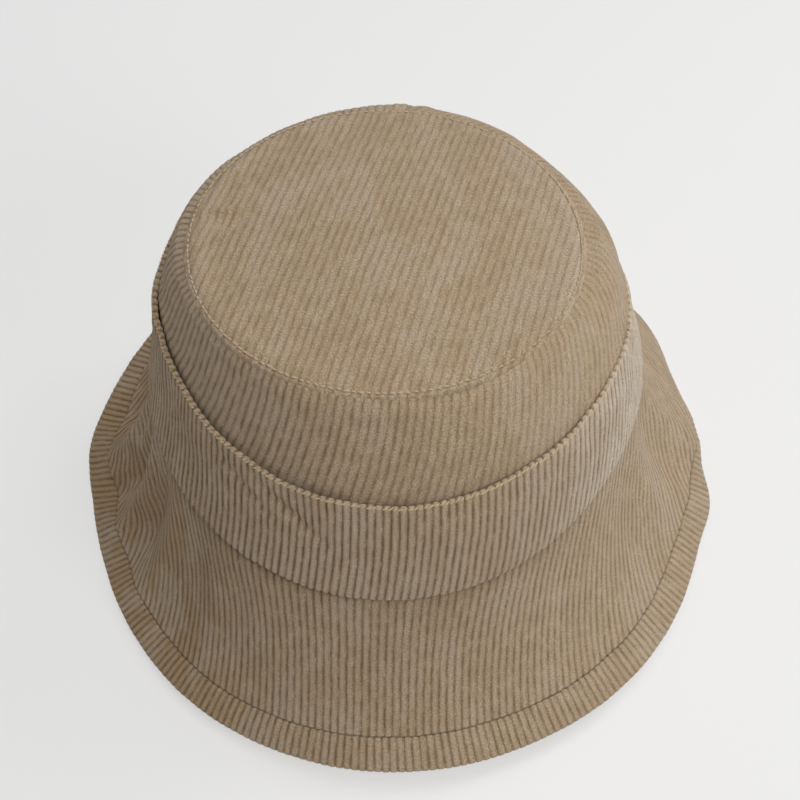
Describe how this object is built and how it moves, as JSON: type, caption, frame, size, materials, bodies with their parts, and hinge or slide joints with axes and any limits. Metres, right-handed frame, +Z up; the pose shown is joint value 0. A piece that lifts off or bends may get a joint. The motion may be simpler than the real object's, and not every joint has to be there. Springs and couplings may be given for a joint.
{
  "type": "bucket hat",
  "caption": "Corduroy bucket hat: flat oval crown, folded hat band and a soft bell-shaped sloping brim with a sewn edge strip, lined inside.",
  "frame": {"origin": "middle of the hat's box in plan, on the plane that the lowest places of the brim edge rest on", "axes": "+Z up through the crown, -Y to the front of the hat, +X to the left of a person wearing it"},
  "size_m": [0.2723, 0.2923, 0.159],
  "materials": {
    "corduroy": "ribbed cut pile, matt with a soft nap sheen",
    "stiffener": "woven stiffener, matt",
    "interlining": "fusible interlining, matt",
    "lining": "plain woven twill, slight sheen",
    "sweatband_ribbon": "grosgrain ribbon, slight sheen",
    "label": "blank woven satin label",
    "thread": "spun polyester sewing thread"
  },
  "bodies": {
    "root": {"crown_tip": "corduroy", "crown_side": "corduroy", "hat_band": "corduroy", "brim_top": "corduroy", "brim_under": "corduroy", "brim_edge_strip": "corduroy", "brim_interlining": "stiffener", "tip_interlining": "interlining", "side_interlining": "interlining", "lining_tip": "lining", "lining_side": "lining", "sweatband": "sweatband_ribbon", "care_label": "label", "tip_stitch": "thread", "band_top_stitch": "thread", "band_base_stitch": "thread", "edge_strip_stitch": "thread", "sweatband_stitch": "thread"}
  },
  "joints": []
}
